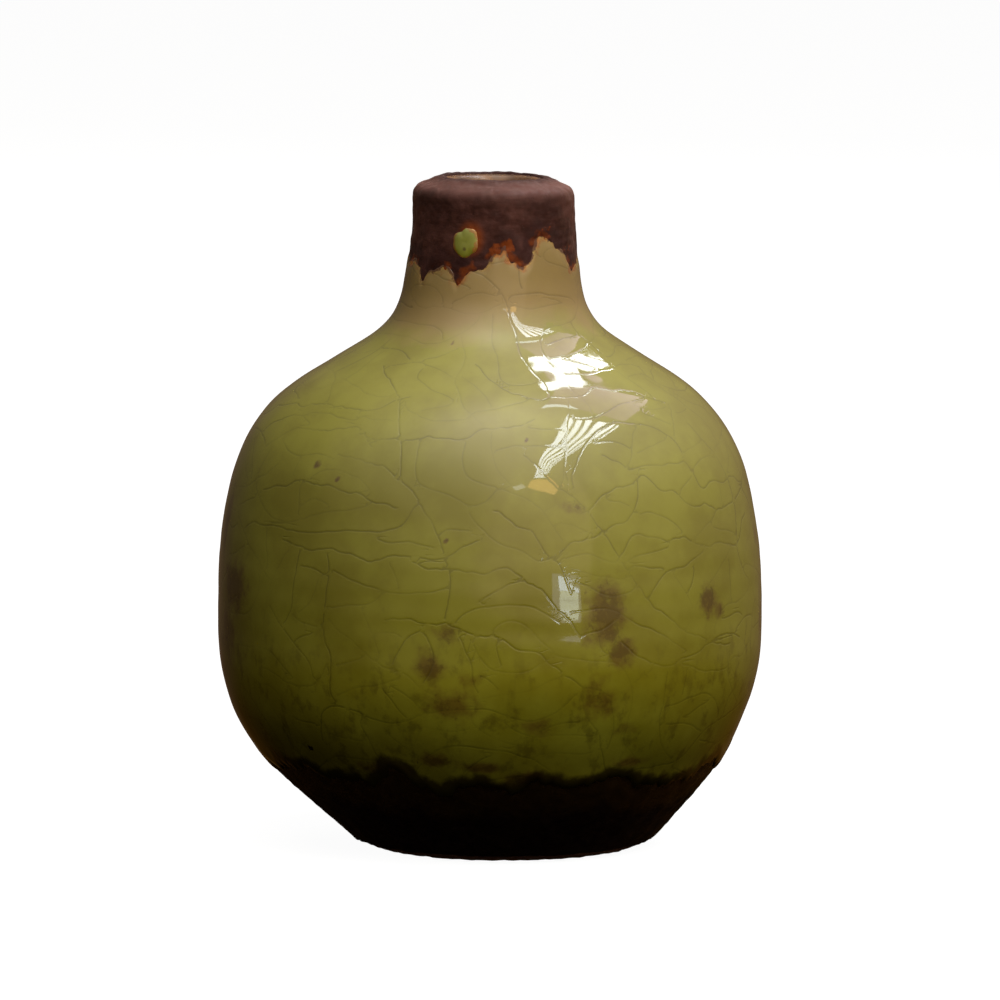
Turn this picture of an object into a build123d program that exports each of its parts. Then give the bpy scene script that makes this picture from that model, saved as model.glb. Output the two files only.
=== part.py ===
"""Ceramic bud vase, modelled as the potter builds it up.

A thrown stoneware body carries five fired coats: dark slip over the lip, dark slip round the heel,
a crackle glaze between the two, a liner glaze in the cavity and one splash of the crackle glaze that
landed on the dark neck. Millimetres, +Z up, origin on the vase's axis at the plane it stands on, -Y
is the front.
"""

import os
from math import hypot, radians, tan

from build123d import *

# Overall sizes, measured over the fired coats
overall_height = 114.0
belly_diameter = 93.0
neck_diameter = 27.6  # over the dark slip
bore_diameter = 14.6  # inside the liner glaze

# Coats
glaze_thickness = 0.5
slip_thickness = 0.3
liner_thickness = 0.4

# Clay walls
belly_wall = 5.0
floor_thickness = 6.0

# Heights of the outer silhouette, the belly's upright side taking up what these leave
heel_height = 21.6  # where the heel's slope would meet the belly's upright side
shoulder_rise = 21.2  # from where the belly starts to lean in to the shoulder's break
neck_root_rise = 15.2  # from the shoulder's break to the root of the neck
neck_height = 24.8  # from the neck's root to the crown of the lip
flare_height = 14.6  # height of the flare above the neck's root
lip_drop = 1.9  # how far the lip's outer corner lies below its crown

# Widths of the outer silhouette
foot_inset = 22.4  # the foot's corner lies this far inside the belly
shoulder_inset = 5.0  # the shoulder's break lies this far inside the belly
neck_flare = 2.0  # the neck's root is this much wider than its top, on the radius
crown_width = 1.6  # from the bore out to where the lip slopes down to its outer corner

# Roundings of the silhouette
foot_round = 6.5
heel_round = 37.0
belly_round = 86.0
shoulder_round = 28.0
neck_root_round = 12.0
flare_round = 80.0
lip_outer_round = 1.4
lip_crown_round = 4.0
mouth_round = 1.4
floor_round = 9.0
bore_root_round = 10.0

# Turned recess under the foot
foot_ring_width = 10.1  # from the foot's corner in to the recess
recess_depth = 1.4
recess_round = 0.5

# Where the coats stop
heel_slip_start = 1.4  # bare clay shows below this height
heel_glaze_line = 13.0  # dark slip below, crackle glaze above
rim_slip_depth = 14.5  # dark slip above this far below the crown of the lip, crackle glaze below
mouth_slip_depth = 0.6  # how far the dark slip runs down inside the mouth

# Splash of crackle glaze on the dark neck
splash_width = 4.2
splash_height = 5.2
splash_thickness = 0.45
splash_rise = 4.3  # the splash's centre lies this far above the glaze's upper edge
splash_turn = -20.0  # degrees round the neck from the front, towards -X

# Sizes that follow from the ones above: all of the bare clay
clay_height = overall_height - slip_thickness
belly_radius = belly_diameter / 2 - glaze_thickness
neck_radius = neck_diameter / 2 - slip_thickness
bore_radius = bore_diameter / 2 + liner_thickness
foot_radius = belly_radius - foot_inset
neck_root_height = overall_height - neck_height
shoulder_height = neck_root_height - neck_root_rise
belly_top = shoulder_height - shoulder_rise
neck_glaze_line = overall_height - rim_slip_depth


def crossing(a, b, c, d):
    """Point where the line through a and b meets the line through c and d."""
    ab = (b[0] - a[0], b[1] - a[1])
    cd = (d[0] - c[0], d[1] - c[1])
    along = ((c[0] - a[0]) * cd[1] - (c[1] - a[1]) * cd[0]) / (ab[0] * cd[1] - ab[1] * cd[0])
    return (a[0] + along * ab[0], a[1] + along * ab[1])


def turn(before, corner, after):
    """Cross product at a corner: positive where the outline turns left."""
    arriving = (corner[0] - before[0], corner[1] - before[1])
    leaving = (after[0] - corner[0], after[1] - corner[1])
    return arriving[0] * leaving[1] - arriving[1] * leaving[0]


def moved_right(points, distance):
    """The open chain of points with every straight moved to its right by distance."""
    straights = []
    for start, end in zip(points, points[1:]):
        length = hypot(end[0] - start[0], end[1] - start[1])
        dx = (end[1] - start[1]) / length * distance
        dz = -(end[0] - start[0]) / length * distance
        straights.append(((start[0] + dx, start[1] + dz), (end[0] + dx, end[1] + dz)))
    corners = [crossing(*first, *second) for first, second in zip(straights, straights[1:])]
    return [straights[0][0], *corners, straights[-1][1]]


def fitted_radii(points, radii):
    """The corner radii, each cut down where its straights are too short for the roundings."""
    corners = list(zip(points, points[1:], points[2:], radii))
    reaches = [0.0]
    for before, corner, after, radius in corners:
        arriving = Vector(corner) - Vector(before)
        leaving = Vector(after) - Vector(corner)
        reaches.append(radius * tan(radians(arriving.get_angle(leaving)) / 2))
    reaches.append(0.0)
    shares = [
        (Vector(end) - Vector(start)).length * 0.98 / max(reaches[i] + reaches[i + 1], 1e-9)
        for i, (start, end) in enumerate(zip(points, points[1:]))
    ]
    return [radius * min(1.0, shares[i], shares[i + 1]) for i, radius in enumerate(radii)]


# Half section of the bare clay, from the axis under the foot, up the outside and down the inside.
# The recess under the foot is turned out of it afterwards.
outer_points = [
    (foot_radius, 0.0),
    (belly_radius, heel_height),
    (belly_radius, belly_top),
    (belly_radius - shoulder_inset, shoulder_height),
    (neck_radius + neck_flare, neck_root_height),
    (neck_radius, neck_root_height + flare_height),
    (neck_radius, clay_height - lip_drop),
    (bore_radius + crown_width, clay_height),
]
outer_radii = [
    foot_round,
    heel_round,
    belly_round,
    shoulder_round,
    neck_root_round,
    flare_round,
    lip_outer_round,
    lip_crown_round,
]
cavity_side = moved_right(outer_points[:5], -belly_wall)
floor_corner = crossing(*cavity_side[:2], (0.0, floor_thickness), (1.0, floor_thickness))
bore_root = crossing(*cavity_side[3:5], (bore_radius, 0.0), (bore_radius, clay_height))
clay_points = [
    (0.0, 0.0),
    *outer_points,
    (bore_radius, clay_height),
    bore_root,
    *reversed(cavity_side[1:4]),
    floor_corner,
    (0.0, floor_thickness),
]
clay_radii = [
    *outer_radii,
    mouth_round,
    bore_root_round,
    shoulder_round - belly_wall,
    belly_round - belly_wall,
    heel_round - belly_wall,
    floor_round,
]


def section_face(growth=0.0, mode=Mode.ADD):
    """Half section of the clay, grown outwards all round by growth, as a face of the open sketch."""
    points = moved_right(clay_points, growth)
    radii = []
    base_radii = fitted_radii(clay_points, clay_radii)
    for before, corner, after, radius in zip(clay_points, clay_points[1:], clay_points[2:], base_radii):
        side = 1 if turn(before, corner, after) > 0 else -1
        radii.append(max(radius + side * growth, 0.0) if radius > 0 else 0.0)
    with BuildLine() as outline:
        clay_side = FilletPolyline(*points, radius=radii)
        Line(clay_side @ 1, clay_side @ 0)
    make_face(outline.edges(), mode=mode)


def coats(growth, base_growth, bottom, top):
    """Faces of the coat between two growths of the clay's section, kept between two heights."""
    with BuildSketch(Plane.XZ) as coat:
        section_face(growth)
        section_face(base_growth, mode=Mode.SUBTRACT)
        with Locations((0.0, bottom)):
            Rectangle(beyond, top - bottom, align=(Align.MIN, Align.MIN), mode=Mode.INTERSECT)
    return coat.sketch.faces().sort_by(Axis.X)


def save(part, label):
    """Labels a finished part and writes it as one STEP file."""
    part.label = label
    export_step(part, os.path.join("parts", f"{label}.step"))


os.makedirs("parts", exist_ok=True)
beyond = belly_diameter + overall_height  # clear of the vase in every direction
mid_neck_wall = (bore_radius + neck_radius) / 2
mouth_slip_line = clay_height - mouth_slip_depth
recess_radius = foot_radius - foot_ring_width

# Thrown and turned stoneware body
with BuildPart() as clay_body:
    with BuildSketch(Plane.XZ):
        section_face()
    revolve(axis=Axis.Z)
    with BuildSketch(Plane.XY):
        Circle(recess_radius)
    extrude(amount=recess_depth, mode=Mode.SUBTRACT)
    fillet(clay_body.edges(Select.LAST).filter_by(GeomType.CIRCLE), recess_round)
save(clay_body.part, "clay_body")

# Crackle glaze outside, from the heel to the neck
with BuildPart() as crackle_glaze:
    outside_coat = coats(glaze_thickness, 0.0, heel_glaze_line, neck_glaze_line)[-1]
    revolve(outside_coat, axis=Axis.Z)
save(crackle_glaze.part, "crackle_glaze")

# Dark slip round the heel, down to the bare foot
with BuildPart() as heel_slip:
    outside_coat = coats(slip_thickness, 0.0, heel_slip_start, heel_glaze_line)[-1]
    revolve(outside_coat, axis=Axis.Z)
save(heel_slip.part, "heel_slip")

# Dark slip over the lip, from the neck's glaze line to a little way down the mouth
with BuildPart() as rim_slip:
    with BuildSketch(Plane.XZ):
        section_face(slip_thickness)
        section_face(mode=Mode.SUBTRACT)
        with Locations((0.0, neck_glaze_line)):
            Rectangle(beyond, beyond, align=(Align.MIN, Align.MIN), mode=Mode.INTERSECT)
        Rectangle(mid_neck_wall, mouth_slip_line, align=(Align.MIN, Align.MIN), mode=Mode.SUBTRACT)
    revolve(axis=Axis.Z)
save(rim_slip.part, "rim_slip")

# Liner glaze that makes the cavity hold water
with BuildPart() as liner_glaze:
    inside_coat = coats(liner_thickness, 0.0, floor_thickness / 2, mouth_slip_line)[0]
    revolve(inside_coat, axis=Axis.Z)
save(liner_glaze.part, "liner_glaze")

# Splash of crackle glaze that sits on the dark slip of the neck
splash_center_height = neck_glaze_line + splash_rise
splash_top = splash_center_height + splash_height
splash_bottom = splash_center_height - splash_height
splash_axis = Vector(0, -1, 0).rotate(Axis.Z, splash_turn)
splash_plane = Plane(
    origin=splash_axis * mid_neck_wall + Vector(0, 0, splash_center_height),
    x_dir=splash_axis.cross(Vector(0, 0, 1)),
    z_dir=splash_axis,
)
with BuildPart() as glaze_splash:
    splash_ring = coats(slip_thickness + splash_thickness, slip_thickness, splash_bottom, splash_top)
    revolve(splash_ring[-1], axis=Axis.Z)
    with BuildSketch(splash_plane):
        Ellipse(splash_width / 2, splash_height / 2)
    extrude(amount=neck_radius, mode=Mode.INTERSECT)
save(glaze_splash.part, "glaze_splash")
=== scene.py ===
"""Looks of the ceramic bud vase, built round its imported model.

Every piece is turned from the clay's own half section, so glaze, slip and clay stay seated on each
other, and one gentle distortion is laid over all of them, because a thrown pot is never quite round.
Lengths inside the functions are in millimetres; meshes, lights and properties are in metres.
"""

from functools import lru_cache
from math import atan2, cos, pi, radians, sin, sqrt, tan
from random import Random

import bpy
import numpy as np
from bpy.props import FloatProperty, FloatVectorProperty, IntProperty, PointerProperty
from bpy.types import Operator, Panel, PropertyGroup
from mathutils import Matrix, Vector
from mathutils.bvhtree import BVHTree
from mathutils.kdtree import KDTree


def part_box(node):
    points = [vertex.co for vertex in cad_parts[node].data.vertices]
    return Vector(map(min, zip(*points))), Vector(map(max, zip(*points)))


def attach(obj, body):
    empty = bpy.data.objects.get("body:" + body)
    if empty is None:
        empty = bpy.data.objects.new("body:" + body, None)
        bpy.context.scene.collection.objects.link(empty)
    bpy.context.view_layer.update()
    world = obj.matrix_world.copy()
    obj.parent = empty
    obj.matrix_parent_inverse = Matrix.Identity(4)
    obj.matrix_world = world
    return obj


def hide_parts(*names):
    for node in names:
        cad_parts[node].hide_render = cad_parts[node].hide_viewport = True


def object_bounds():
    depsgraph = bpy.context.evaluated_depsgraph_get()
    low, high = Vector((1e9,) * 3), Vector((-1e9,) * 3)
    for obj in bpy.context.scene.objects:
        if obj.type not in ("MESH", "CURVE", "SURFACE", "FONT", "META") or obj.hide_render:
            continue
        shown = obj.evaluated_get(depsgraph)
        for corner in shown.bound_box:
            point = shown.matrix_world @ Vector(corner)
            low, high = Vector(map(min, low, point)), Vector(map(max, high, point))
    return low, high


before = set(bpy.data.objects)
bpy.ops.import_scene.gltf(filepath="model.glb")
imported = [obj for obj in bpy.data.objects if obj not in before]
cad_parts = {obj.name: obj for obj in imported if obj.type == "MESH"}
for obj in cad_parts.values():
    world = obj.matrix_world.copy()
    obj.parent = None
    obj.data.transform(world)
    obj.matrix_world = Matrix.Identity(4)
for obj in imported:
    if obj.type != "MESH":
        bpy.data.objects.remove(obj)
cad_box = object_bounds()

bl_info = {
    "name": "Bud Vase",
    "version": (1, 0, 0),
    "blender": (4, 5, 0),
    "location": "3D View > Sidebar > Bud Vase",
    "description": "Builds a crackle-glazed stoneware bud vase, coat by coat",
    "category": "Object",
}

MM = 0.001
box = lru_cache(maxsize=None)(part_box)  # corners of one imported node, read once
LINER_THICKNESS = 0.4  # mm, as packed
SECTION_STEP = 0.05  # mm between the points of the smoothed half section
SLIP_COLUMNS = 320  # mesh columns round each coat of slip
WHITE = (1.0, 1.0, 1.0, 1.0)
BLACK = (0.0, 0.0, 0.0, 1.0)


def color_property(name, description, value):
    """A colour that a user can change, given in display values from 0 to 255."""
    linear = [display_to_linear(channel / 255) for channel in value]
    return FloatVectorProperty(
        name=name, description=description, subtype="COLOR", size=3, min=0.0, max=1.0, default=linear
    )


def display_to_linear(value):
    """A display value from 0 to 1 as linear light."""
    return value / 12.92 if value <= 0.04045 else ((value + 0.055) / 1.055) ** 2.4


def length_property(name, description, value):
    """A length that a user can change, given in millimetres."""
    return FloatProperty(
        name=name, description=description, default=value * MM, unit="LENGTH", precision=5
    )


class VaseShape(PropertyGroup):
    """How far the thrown pot is from a perfect turning, and how finely it is meshed."""

    columns: IntProperty(
        name="Columns", description="Mesh columns round the glaze", default=400, min=64, max=800
    )
    glaze_row: length_property("Glaze row", "Height of the glaze's mesh rows", 0.66)
    slip_row: length_property("Slip row", "Height of the slip's mesh rows", 0.24)
    clay_row: length_property("Clay row", "Height of the clay's mesh rows", 1.3)
    out_of_round: length_property("Out of round", "How far the belly strays from a circle", 0.3)
    neck_shift: length_property("Neck shift", "How far the neck stands to the right of the foot", 0.8)
    foot_shift: length_property("Foot shift", "How far the foot sits to the right of the belly", 2.5)
    lip_tilt: length_property("Lip tilt", "How far the lip is higher on its left", 0.5)
    throwing_rings: length_property("Throwing rings", "Depth of the fingers' rings", 0.012)
    pooling: length_property("Pooling", "How unevenly thick the glaze lies", 0.05)


class CrackleGlazeLook(PropertyGroup):
    """Colours and crackle of the green glaze."""

    light: color_property("Light", "Glaze where it is thick and clean", (167, 162, 44))
    deep: color_property("Deep", "Glaze in its darker clouds", (150, 142, 30))
    tan: color_property("Tan", "Thin glaze near the neck's slip", (176, 144, 88))
    rust: color_property("Rust", "Edge of the glaze where iron bleeds into it", (168, 98, 44))
    bloom: color_property("Bloom", "Soft brown of the iron blooms", (112, 82, 30))
    iron: color_property("Iron", "Iron specks and scorched edges", (66, 46, 16))
    drowned: color_property("Drowned", "Glaze that has sunk into the heel's slip", (46, 31, 9))
    scorch: color_property("Scorch", "Scorched edge beside the neck's slip", (58, 26, 16))
    line: color_property("Line", "Stain in the crackle's lines", (62, 60, 14))
    cell: length_property("Cell", "Half the width of the widest crackle cell", 2.9)
    line_width: length_property("Line width", "Width of a crackle line", 0.26)


class DarkSlipLook(PropertyGroup):
    """Colours of the dark slip."""

    dark: color_property("Dark", "Slip in its darker clouds", (40, 18, 15))
    light: color_property("Light", "Slip in its lighter clouds", (84, 52, 46))
    # Painted light: the lip's upward slope, where light from above falls, is painted in this lighter
    # colour.
    painted_lip_light: color_property("Worn", "Slip where it is thin on the lip's slope", (114, 80, 74))
    rust: color_property("Rust", "Slip beside the glaze, where it turns rusty", (138, 66, 26))
    burn: color_property("Burn", "Scorched slip beside the glaze", (34, 13, 13))
    heel: color_property("Heel", "Slip round the heel", (6, 3, 2))
    heel_thin: color_property("Heel thin", "Slip round the heel, beside the glaze", (48, 34, 11))
    heel_worn: color_property("Heel worn", "Slip round the heel, where it is thin", (16, 9, 6))


class ClayLook(PropertyGroup):
    """Colours of the bare clay and of the liner glaze."""

    clay: color_property("Clay", "Fired stoneware", (74, 50, 38))
    toasted: color_property("Toasted", "Stoneware toasted by the kiln", (52, 28, 20))
    liner: color_property("Liner", "Liner glaze where it is thin", (116, 76, 34))
    liner_deep: color_property("Liner deep", "Liner glaze where it is thick", (74, 44, 18))


class StageLook(PropertyGroup):
    """Camera, lights and floor."""

    distance: length_property("Distance", "From the camera to the vase", 1800)
    elevation: FloatProperty(
        name="Elevation", description="How far the camera looks down", default=radians(6.5),
        subtype="ANGLE",
    )
    view_width: length_property("View width", "Width of the view at the vase", 169.7)
    aim_right: length_property("Aim right", "How far right of the vase's axis the camera aims", 1.8)
    aim_up: length_property("Aim up", "How far above the vase's middle the camera aims", 1.8)
    light_distance: length_property("Light distance", "From the vase to each light", 1200)
    brightness: FloatProperty(
        name="Brightness", description="Multiplies every light", default=1.0, min=0.0
    )


# ---------------------------------------------------------------- half section and distortion


def smoothstep(low, high, value):
    """0 below low, 1 above high, and a smooth rise between."""
    share = np.clip((value - low) / (high - low), 0.0, 1.0)
    return share * share * (3.0 - 2.0 * share)


def blurred(values, width):
    """Values on the section's even steps, averaged over a bell of the given width in mm."""
    half = max(int(3 * width / SECTION_STEP), 1)
    bell = np.exp(-0.5 * (np.arange(-half, half + 1) * SECTION_STEP / width) ** 2)
    return np.convolve(np.pad(values, half, mode="edge"), bell / bell.sum(), "valid")


def soft_noise(points, wavelength, seed, waves=28):
    """Smooth random field with unit spread at points in mm, made of waves in random directions."""
    chance = np.random.default_rng(seed)
    headings = chance.normal(size=(waves, 3))
    headings /= np.linalg.norm(headings, axis=1)[:, None]
    numbers = 2 * pi / wavelength * chance.uniform(0.65, 1.35, waves)
    phases = chance.uniform(0, 2 * pi, waves)
    flat = np.reshape(points, (-1, 3))
    field = np.cos(flat @ (headings * numbers[:, None]).T + phases).sum(axis=1) / sqrt(waves / 2)
    return np.reshape(field, np.shape(points)[:-1])


class Section:
    """The clay's half section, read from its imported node, as one smooth line round the wall.

    It runs from the axis under the foot, up the outside, over the lip and down the inside to the
    axis over the floor. Places on it are lengths in mm along the line.
    """

    def __init__(self):
        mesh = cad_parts["clay_body"].data
        tree = BVHTree.FromPolygons([v.co for v in mesh.vertices], [p.vertices for p in mesh.polygons])
        widest, _, top = box("clay_body")[1]
        outside = 2 * widest
        ray = Vector((cos(0.011), sin(0.011), 0.0))

        def radius(height, outward):
            start = Vector((0, 0, height)) if outward else ray * outside + Vector((0, 0, height))
            return tree.ray_cast(start, ray if outward else -ray)[0].xy.length

        near_axis = Vector((0.3 * MM, 0.2 * MM, 0))
        recess = tree.ray_cast(near_axis - Vector((0, 0, top)), Vector((0, 0, 1)))[0].z
        floor = tree.ray_cast(near_axis + Vector((0, 0, top / 2)), Vector((0, 0, -1)))[0].z
        recess_radius = radius(recess / 2, outward=True)
        shares = (1 - np.cos(np.linspace(0, pi, 1400))) / 2
        rising = top * np.clip(shares, 1e-5, 1 - 1e-5)
        falling = (floor + (top - floor) * np.clip(shares, 1e-5, 1 - 1e-5))[::-1]
        points = [(0.0, recess), (recess_radius, recess), (recess_radius, 0.0)]
        points += [(radius(height, outward=False), height) for height in rising]
        points += [(radius(height, outward=True), height) for height in falling]
        points.append((0.0, floor))
        rough = np.array(points) / MM
        steps = np.hypot(*np.diff(rough, axis=0).T)
        along = np.concatenate([[0.0], np.cumsum(steps)])
        self.length = along[-1]
        self.places = np.arange(0.0, self.length, SECTION_STEP)
        even = [np.interp(self.places, along, rough[:, axis]) for axis in (0, 1)]
        # The belly is blurred widely and the foot, the lip and the recess only a little.
        height = even[1]
        wide = smoothstep(6, 14, height) * smoothstep(top / MM - 5, top / MM - 13, height)
        wide = blurred(wide, 1.0)
        self.radii = blurred(even[0], 0.25) * (1 - wide) + blurred(even[0], 2.0) * wide
        self.heights = blurred(even[1], 0.25) * (1 - wide) + blurred(even[1], 2.0) * wide
        self.radii[0] = self.radii[-1] = 0.0
        slopes = np.gradient(self.radii), np.gradient(self.heights)
        sizes = np.hypot(*slopes)
        self.normals = blurred(slopes[1] / sizes, 0.2), blurred(-slopes[0] / sizes, 0.2)
        self.crown = self.places[np.argmax(self.heights)]
        self.foot = self.places[np.nonzero(even[1] < 0.05)[0][-1]]
        self.top = float(self.heights.max())

    def outside(self, height):
        """Place on the outside at a height in mm."""
        part = (self.places >= self.foot) & (self.places <= self.crown)
        return np.interp(height, self.heights[part], self.places[part])

    def inside(self, height):
        """Place on the inside at a height in mm."""
        part = self.places >= self.crown
        return np.interp(height, self.heights[part][::-1], self.places[part][::-1])

    def radius(self, place):
        """Radius in mm at a place."""
        return np.interp(place, self.places, self.radii)

    def height(self, place):
        """Height in mm at a place."""
        return np.interp(place, self.places, self.heights)

    def points(self, angles, place, growth=0.0):
        """Points in mm at angles round the axis, raised by growth from the clay's surface.

        Angle 0 is the front, and angles grow towards +X.
        """
        angles, place, growth = np.broadcast_arrays(angles, place, growth)
        radius = self.radius(place) + np.interp(place, self.places, self.normals[0]) * growth
        height = self.height(place) + np.interp(place, self.places, self.normals[1]) * growth
        return np.stack([radius * np.sin(angles), -radius * np.cos(angles), height], axis=-1)


def thrown(points, shape, section):
    """Points in mm as the potter left them: out of round, off the axis and tilted at the lip."""
    x, y, z = np.moveaxis(np.asarray(points, dtype=float), -1, 0)
    angle = np.arctan2(x, -y)
    share = z / section.top
    oval = np.sin(2 * angle + 0.7 + 1.1 * share) + 0.45 * np.sin(3 * angle + 2.1 - 2.3 * share)
    oval = oval + 0.25 * np.sin(5 * angle + 4.0 + 5.0 * share)
    belly_radius = box("clay_body")[1].x / MM
    swell = 1 + shape.out_of_round / MM / belly_radius * oval * smoothstep(0.0, 0.12, share)
    up = smoothstep(0.62, 0.95, share)
    down = 1 - smoothstep(-0.06, 0.22, share)
    x_out = x * swell + shape.neck_shift / MM * up + 1.2 * shape.foot_shift / MM * down
    y_out = y * swell - 0.3 * shape.neck_shift / MM * up
    at_lip = smoothstep(0.86, 1.0, share)
    neck_radius = box("rim_slip")[1].x / MM
    uneven = 0.5 * np.sin(2 * angle + 1.3) + 0.3 * np.sin(3 * angle + 0.4)
    tilt = shape.lip_tilt / MM / 2 * (-x / neck_radius + 0.3 * uneven)
    return np.stack([x_out, y_out, z + tilt * at_lip], axis=-1)


def finger_rings(shape, places, angles, section):
    """Relief in mm of the throwing rings on the outside, a slow spiral up the wall."""
    height = section.height(places)
    climb = height / 4.3 + angles / (2 * pi)
    strength = 0.55 + 0.45 * np.sin(height / 7.0 + 1.0)
    quiet = smoothstep(16, 30, height) * smoothstep(section.top - 6, section.top - 20, height)
    return shape.throwing_rings / MM * np.sin(2 * pi * climb) * strength * quiet


# ---------------------------------------------------------------- meshes


def ring_mesh(name, rings, closed=True):
    """A mesh from rings of points in mm. A ring of one point is a pole. Returns the object."""
    vertices = np.concatenate([np.reshape(ring, (-1, 3)) for ring in rings]) * MM
    starts = np.cumsum([0] + [len(ring) for ring in rings])
    faces = []
    pairs = list(zip(range(len(rings)), range(1, len(rings))))
    if closed:
        pairs.append((len(rings) - 1, 0))
    for low, high in pairs:
        low_count, high_count = len(rings[low]), len(rings[high])
        count = max(low_count, high_count)
        around = np.arange(count)
        following = (around + 1) % count
        if low_count == 1:
            pole, ring = starts[low], starts[high]
            faces += [(pole, ring + b, ring + a) for a, b in zip(around, following)]
        elif high_count == 1:
            ring, pole = starts[low], starts[high]
            faces += [(ring + a, ring + b, pole) for a, b in zip(around, following)]
        else:
            corners = [starts[low] + around, starts[low] + following]
            corners += [starts[high] + following, starts[high] + around]
            faces += np.stack(corners, axis=1).tolist()
    mesh = bpy.data.meshes.new(name)
    mesh.from_pydata(vertices.tolist(), [], faces)
    mesh.polygons.foreach_set("use_smooth", [True] * len(mesh.polygons))
    mesh.update()
    piece = bpy.data.objects.new(name, mesh)
    bpy.context.scene.collection.objects.link(piece)
    return piece


def store(piece, name, values):
    """Stores one value or vector for each vertex, for the material to read."""
    values = np.asarray(values, dtype=np.float32)
    vector = values.ndim == 2
    layer = piece.data.attributes.new(name, "FLOAT_VECTOR" if vector else "FLOAT", "POINT")
    layer.data.foreach_set("vector" if vector else "value", values.ravel())


def finish_piece(piece, material, nodes, mirrored=True):
    """Gives a piece its material and its place in the frame, mirrored in the other pieces or not."""
    piece.visible_glossy = mirrored
    piece.data.materials.append(material)
    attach(piece, "root")
    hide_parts(*nodes)


def turned_rows(start, end, row):
    """Places from start to end, about one row apart."""
    return np.linspace(start, end, max(int(round((end - start) / row)), 2) + 1)


# ---------------------------------------------------------------- edges and marks of the glaze

# Tongues and bites of the glaze's upper edge: angle, half width in degrees, rise in mm.
RIM_EDGE_MARKS = (
    (-66, 12, 0.5), (-54, 2.6, -1.7), (-43, 7, -0.3), (-24, 3.6, -1.9), (-12, 7, 0.4),
    (1, 5, 2.6), (8, 3.4, 3.6), (14.5, 3.4, 2.2), (22, 3, 0.5), (31, 5.5, 4.4), (40, 8, 4.6),
    (53, 7, 2.8), (80, 10, 1.3), (104, 7, 3.2), (123, 5, -1.6), (141, 10, 2.9), (163, 4, -1.5),
    (178, 9, 1.8), (199, 5, -1.9), (216, 11, 3.4), (238, 4, 0.2), (252, 4, -1.5), (270, 9, 1.5),
)
# Tongues and bites of the glaze's lower edge, likewise.
HEEL_EDGE_MARKS = (
    (-60, 12, 1.2), (-36, 8, 0.6), (-23, 5, 1.8), (-12, 5, -0.6), (-3, 5, 0.6), (4, 4, -0.8),
    (12, 6, 1.0), (22, 5, -0.4), (33, 4, 1.6), (47, 8, -0.6), (70, 8, 1.6), (101, 6, -1.0),
    (127, 9, 1.8), (158, 6, -1.2), (186, 9, 1.6), (214, 6, -1.0), (243, 8, 2.0), (275, 7, -0.6),
)
# Iron blooms in the glaze: angle in degrees, height, half width and half height in mm, strength.
IRON_BLOOMS = (
    (24.5, 44.5, 4.2, 6.6, 0.95), (28, 38, 3.2, 3.4, 0.85), (52, 45, 2.8, 3.0, 0.95),
    (56, 43, 2.6, 1.6, 0.8), (-69, 46, 6.5, 4.6, 1.0), (-74, 38, 5.0, 6.0, 0.8),
    (-79, 56, 3.0, 6.0, 0.8), (-84, 30, 4.0, 9.0, 0.8), (-9, 42, 3.6, 2.2, 0.75),
    (-12, 36, 3.2, 3.6, 0.8), (-8, 30, 4.8, 3.2, 0.85), (-3, 34, 2.4, 1.6, 0.7),
    (24, 30, 4.6, 3.6, 0.7), (11, 26, 3.2, 2.2, 0.65), (30, 25, 3.0, 1.5, 0.6),
    (-43, 68, 0.75, 0.6, 1.4), (-36, 66, 0.45, 0.4, 1.3), (18, 62, 2.6, 1.5, 0.7),
    (-9, 57, 0.45, 0.45, 1.2), (9, 73, 0.4, 0.4, 1.2), (-19, 87, 0.35, 0.35, 1.1),
    (-12, 20, 3.4, 1.2, 1.0), (-2, 19, 3.4, 1.0, 1.0), (8, 17, 3.6, 1.6, 1.0),
    (-26, 18, 5.0, 2.0, 0.9), (34, 19, 4.0, 1.0, 0.9), (84, 40, 4.0, 8.0, 0.7),
    (80, 54, 2.5, 3.5, 0.6),
)
# Mottled rust where iron bleeds through the glaze's upper edge, likewise.
RUST_PATCHES = (
    (2, 102.6, 1.5, 1.7, 1.0), (9, 103.2, 1.3, 1.9, 0.95), (17, 100.6, 1.1, 1.5, 0.7),
    (21, 98.9, 0.5, 0.8, 0.8), (-31, 99.6, 2.4, 0.8, 0.6), (-62, 99.6, 1.5, 0.7, 0.6),
    (36, 106.2, 2.3, 0.8, 0.75), (62, 102.6, 2.0, 0.9, 0.6), (102, 102.6, 2.0, 1.2, 0.8),
    (140, 102.2, 2.6, 0.9, 0.7), (181, 101.0, 1.8, 1.4, 1.0), (214, 103.2, 2.5, 1.0, 0.7),
    (262, 101.0, 2.2, 1.0, 0.7),
)
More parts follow.
